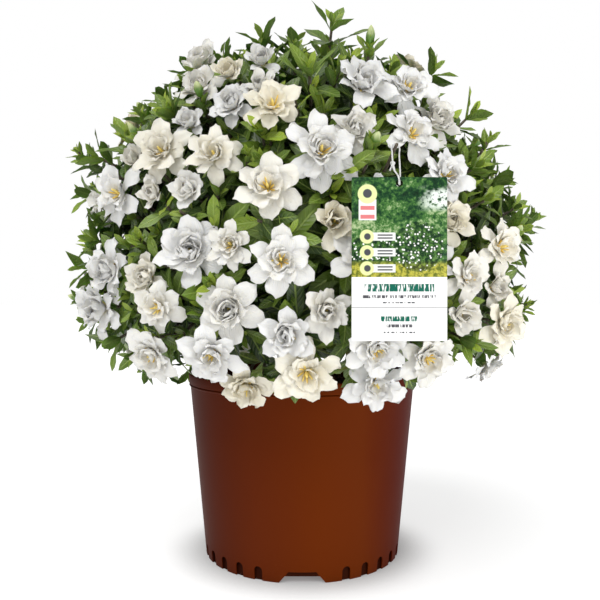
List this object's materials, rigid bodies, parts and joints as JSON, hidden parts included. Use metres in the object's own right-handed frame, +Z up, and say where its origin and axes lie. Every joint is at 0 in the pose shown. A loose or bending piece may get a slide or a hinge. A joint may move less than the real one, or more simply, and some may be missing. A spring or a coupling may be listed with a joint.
{
  "type": "potted gardenia",
  "caption": "Gardenia shrub in full flower: a round crown of glossy leaves and loose double white blooms, in a brown plastic nursery pot, with a hanging plant tag.",
  "frame": {"origin": "on the ground under the middle of the part's box, on the pot's axis", "axes": "+Z up the trunk, -Y towards the front, where the plant tag hangs"},
  "size_m": [0.4934, 0.4868, 0.5466],
  "materials": {
    "pot_plastic": "satin injection-moulded brown",
    "bark_mix": "loose bark potting mix",
    "bark": "thin grey-brown bark",
    "foliage": "waxy, glossy on top",
    "petals": "velvety, white to cream",
    "tag_card": null,
    "elastic": "white covered elastic"
  },
  "bodies": {
    "root": {"pot": "pot_plastic", "soil": "bark_mix", "trunk": "bark", "leafy_branch_01": "foliage", "leafy_branch_02": "foliage", "leafy_branch_03": "foliage", "leafy_branch_04": "foliage", "leafy_branch_05": "foliage", "leafy_branch_06": "foliage", "leafy_branch_07": "foliage", "leafy_branch_08": "foliage", "bloom_01": "petals", "bloom_02": "petals", "bloom_03": "petals", "bloom_04": "petals", "bloom_05": "petals", "bloom_06": "petals", "bloom_07": "petals", "bloom_08": "petals", "bloom_09": "petals", "bloom_10": "petals", "bloom_11": "petals", "bloom_12": "petals", "bloom_13": "petals", "bloom_14": "petals", "bloom_15": "petals", "bloom_16": "petals", "bloom_17": "petals", "bloom_18": "petals", "bloom_19": "petals", "bloom_20": "petals", "bloom_21": "petals", "bloom_22": "petals", "bloom_23": "petals", "bloom_24": "petals", "bloom_25": "petals", "bloom_26": "petals", "bloom_27": "petals", "bloom_28": "petals", "bloom_29": "petals", "bloom_30": "petals", "bloom_31": "petals", "bloom_32": "petals", "bloom_33": "petals", "bloom_34": "petals", "bloom_35": "petals", "bloom_36": "petals", "bloom_37": "petals", "bloom_38": "petals", "bloom_39": "petals", "bloom_40": "petals", "bloom_41": "petals", "bloom_42": "petals", "bloom_43": "petals", "bloom_44": "petals", "bloom_45": "petals", "bloom_46": "petals", "bloom_47": "petals", "plant_tag": "tag_card", "tag_string": "elastic"}
  },
  "joints": []
}
